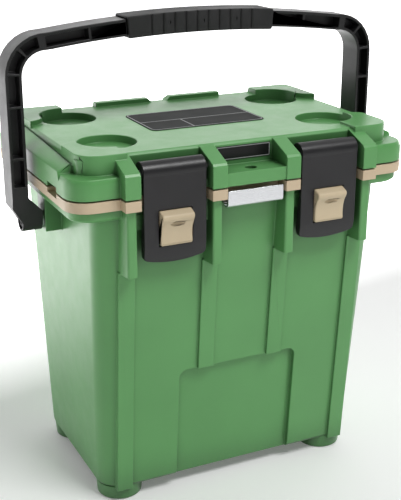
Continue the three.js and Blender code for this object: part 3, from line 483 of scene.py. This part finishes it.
def make_liner():
    liner = copy_of("body_liner", "tan_liner", weld=0.05 * MM)
    round_edges(liner, 0.25 * MM, segments=2)
    finish(liner, "base", TAN, "tan_liner", "body_liner")


def make_opener():
    opener = copy_of("bottle_opener", "opener_channel")
    round_edges(opener, 0.4 * MM)
    finish(opener, "base", STAINLESS, "stainless", "bottle_opener")


# ---------------------------------------------------------------- lid

DECK_TOP = 457
WALL_FRONT = -131
SHELF_HOLE_Y = -150
SHELF_HOLE_RADIUS = 7
SHELF_HOLE_STEPS = 40
LABEL_RADIUS = 9
NAMEPLATE_RADIUS = 1


def label_outline(inset, radius):
    """Outline of the lid's label, seen from above."""
    low, high = node_box("lid_label")
    return rounded_rectangle((low.x, low.y), (high.x, high.y), inset, radius)


def nameplate_outline(inset, radius):
    """Outline of the nameplate, seen from the front."""
    low, high = node_box("front_nameplate")
    return rounded_rectangle((low.x, low.z), (high.x, high.z), inset, radius)


def fill_pockets(lid):
    """Closes the shallow pockets under the plates, so that the rounding runs past them undisturbed."""
    margin, radius = 1, 2
    label_skin, nameplate_skin = 2, 1
    join(lid, prism("filler", label_outline(-margin, radius), DECK_TOP - label_skin, DECK_TOP, "z"))
    join(lid, prism(
        "filler", nameplate_outline(-margin, radius), WALL_FRONT, WALL_FRONT + nameplate_skin, "y"))


def join_shelf(lid):
    """Joins the padlock shelf to the lid as one moulding and bores its hole again."""
    low, high = node_box("padlock_shelf")
    overlap, past = 1, 1  # into the lid, and how far the drill runs past the shelf
    outline = rectangle(low.x - overlap, low.y, high.x + overlap, high.y + overlap)
    join(lid, prism("shelf", outline, low.z, high.z, "z"))
    hole = arc((0, SHELF_HOLE_Y), SHELF_HOLE_RADIUS, 0, 360, SHELF_HOLE_STEPS)[:-1]
    cut(lid, prism("hole", hole, low.z - past, high.z + past, "z"))


def fill_side_slots(lid):
    """Fills most of the narrow slot between the deck and each side pad, so that a fine line is left."""
    half_length, bottom, front_top, back_top = 113, 436, 445.4, 453.4
    inner, outer = 204, 208
    outline = [(-half_length, bottom), (half_length, bottom), (half_length, back_top),
               (-half_length, front_top)]
    for side in SIDES.values():
        start, end = sorted((side * inner, side * outer))
        join(lid, prism("slot_filler", outline, start, end, "x"))


def make_lid_shell():
    lid = copy_of("lid_shell", "green_lid")
    fill_pockets(lid)
    join_shelf(lid)
    fill_side_slots(lid)
    clean(lid.data)
    round_edges(lid, 0.9 * MM)
    finish(lid, "lid", GREEN, "green_shell", "lid_shell", "padlock_shelf")


def make_lid_panel():
    panel = copy_of("lid_panel", "tan_lid_panel")
    round_edges(panel, 0.8 * MM)
    finish(panel, "lid", TAN, "tan_liner", "lid_panel")


def make_label():
    plate = copy_of("lid_label", "label_plate")
    round_edges(plate, 0.3 * MM, segments=2)
    finish(plate, "lid", LABEL_BLACK, "black_plate", "lid_label")


def make_label_lines():
    """Thin grey lines that frame the label and divide it into three panels."""
    line, inset, sunk, proud = 1.4, 1.5, 0.3, 0.12
    upright_share, across_share = 0.36, 0.47
    low, high = node_box("lid_label")
    bottom, top = high.z - sunk, high.z + proud
    outer, inner = [label_outline(edge, LABEL_RADIUS - edge) for edge in (inset, inset + line)]
    lines = border("label_lines", outer, inner, bottom, top, "z")
    split_x = low.x + upright_share * (high.x - low.x)
    split_y = low.y + across_share * (high.y - low.y)
    start, overlap = 2, 0.5
    across = rectangle(low.x + start, split_y, high.x - start, split_y + line)
    upright = rectangle(split_x, low.y + start, split_x + line, split_y + overlap)
    for strip in (across, upright):
        join(lines, prism("strip", strip, bottom, top, "z"))
    finish(lines, "lid", LABEL_GREY, "black_plate")


def make_nameplate():
    plate = copy_of("front_nameplate", "nameplate")
    round_edges(plate, 0.3 * MM, segments=2)
    finish(plate, "lid", PLATE_BLACK, "black_plate", "front_nameplate")


def make_nameplate_line():
    """Thin grey line around the nameplate."""
    line, inset, thickness, proud = 0.9, 0.6, 0.4, 0.1
    front = node_box("front_nameplate")[0].y - proud
    outer, inner = [nameplate_outline(edge, NAMEPLATE_RADIUS) for edge in (inset, inset + line)]
    edging = border("nameplate_border", outer, inner, front, front + thickness, "y")
    finish(edging, "lid", LABEL_GREY, "black_plate")


# ---------------------------------------------------------------- latches

THUMB_HOLLOW_Y = -169.1
THUMB_HOLLOW_Z = 377.6
THUMB_HOLLOW_RADII = (10.5, 2.8, 5.4)
THUMB_HOLLOW_TILT = -28


def make_latch_plate(side):
    plate = copy_of(f"latch_plate_{side}", f"latch_{side}_plate")
    round_edges(plate, 0.7 * MM)
    finish(plate, f"latch_{side}", BLACK_PLASTIC, "black_plastic", f"latch_plate_{side}")


def make_press_button(side):
    """Well-rounded button with a shallow hollow for the thumb."""
    button = copy_of(f"latch_button_{side}", f"latch_{side}_press_button")
    round_edges(button, 1.8 * MM, segments=5)
    low, high = node_box(f"latch_button_{side}")
    centre = ((low.x + high.x) / 2, THUMB_HOLLOW_Y, THUMB_HOLLOW_Z)
    cut(button, ellipsoid("thumb_hollow", centre, THUMB_HOLLOW_RADII, THUMB_HOLLOW_TILT))
    weight_normals(button)
    finish(button, f"button_{side}", BUTTON_TAN, "tan_button", f"latch_button_{side}")


# ---------------------------------------------------------------- handle

GROOVE_FIRST = -67
GROOVE_PITCH = 15
GROOVE_COUNT = 10
GROOVE_PROFILE = [(-6, 0), (-3, 0.25), (-1, 0.6), (0, 1.7), (1, 0.6), (3, 0.25), (6, 0)]  # across, deep
GROOVE_ANGLE = 20  # keeps the grooves' edges crisp in the smooth shading
VENT_PLACES = (-43, 2, 47)


def make_handle_frame():
    handle = copy_of("handle_frame", "bail_handle", weld=0.06 * MM)
    round_edges(handle, 0.8 * MM)
    finish(handle, "handle", HANDLE_BLACK, "black_plastic", "handle_frame")


def grip_grooves(face, low, high):
    """Cutters for the row of grooves in one face, with a gentle crown on each band between them."""
    inward = -1 if face > 0 else 1
    half_width = GROOVE_PROFILE[-1][0]
    outside = face - inward * 2
    past = 5  # how far the cutters run past the grip
    cutters = []
    for number in range(GROOVE_COUNT):
        middle = GROOVE_FIRST + number * GROOVE_PITCH
        outline = [(middle + across, face + inward * deep) for across, deep in GROOVE_PROFILE]
        outline += [(middle + half_width, outside), (middle - half_width, outside)]
        cutters.append(prism("groove", outline, low - past, high + past, "z"))
    return cutters


def grip_vents(face, bottom):
    """Cutters for three small slots in the front of the grip."""
    half_width, height, depth, outside = 0.6, 4, 3, 2
    slots = []
    for x in VENT_PLACES:
        outline = rectangle(x - half_width, bottom, x + half_width, bottom + height)
        slots.append(prism("vent", outline, face - outside, face + depth, "y"))
    return slots


def make_grip():
    grip = copy_of("handle_grip", "grip_sleeve", weld=0.06 * MM)
    round_edges(grip, 2 * MM)
    low, high = node_box("handle_grip")
    for face in (low.y, high.y):
        cut(grip, *grip_grooves(face, low.z, high.z))
    cut(grip, *grip_vents(low.y, (low.z + high.z) / 2))
    grip.data.set_sharp_from_angle(angle=math.radians(GROOVE_ANGLE))
    finish(grip, "handle", RUBBER, "rubber", "handle_grip")


# ---------------------------------------------------------------- the small CAD parts that stay

STAYING = {
    "foam": FOAM,
    "foot_pad": RUBBER,
    "seal": RUBBER,
    "insert": BRASS,
    "bush": BLACK_PLASTIC,
    "screw": STEEL,
    "pin": STEEL,
    "spring": STEEL,
    "washer": STEEL,
    "bolt": DARK_STEEL,
}


def finish_small_parts():
    """Gives each CAD part that no piece replaces its material and a fine broken edge."""
    for name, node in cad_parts.items():
        if node.hide_render:
            continue
        material = next(STAYING[word] for word in STAYING if word in name)
        node.data.materials.clear()
        node.data.materials.append(material)
        bevel = node.modifiers.new("edge", "BEVEL")
        bevel.width = 0.25 * MM
        bevel.segments = 2
        bevel.limit_method = "ANGLE"
        bevel.angle_limit = math.radians(40)


# ---------------------------------------------------------------- scene

add_camera()
add_key_light()
add_world()
add_floor()
make_body()
make_liner()
make_lid_shell()
make_lid_panel()
make_label()
make_label_lines()
make_nameplate()
make_nameplate_line()
for side_name in SIDES:
    make_latch_plate(side_name)
    make_press_button(side_name)
make_opener()
make_handle_frame()
make_grip()
finish_small_parts()
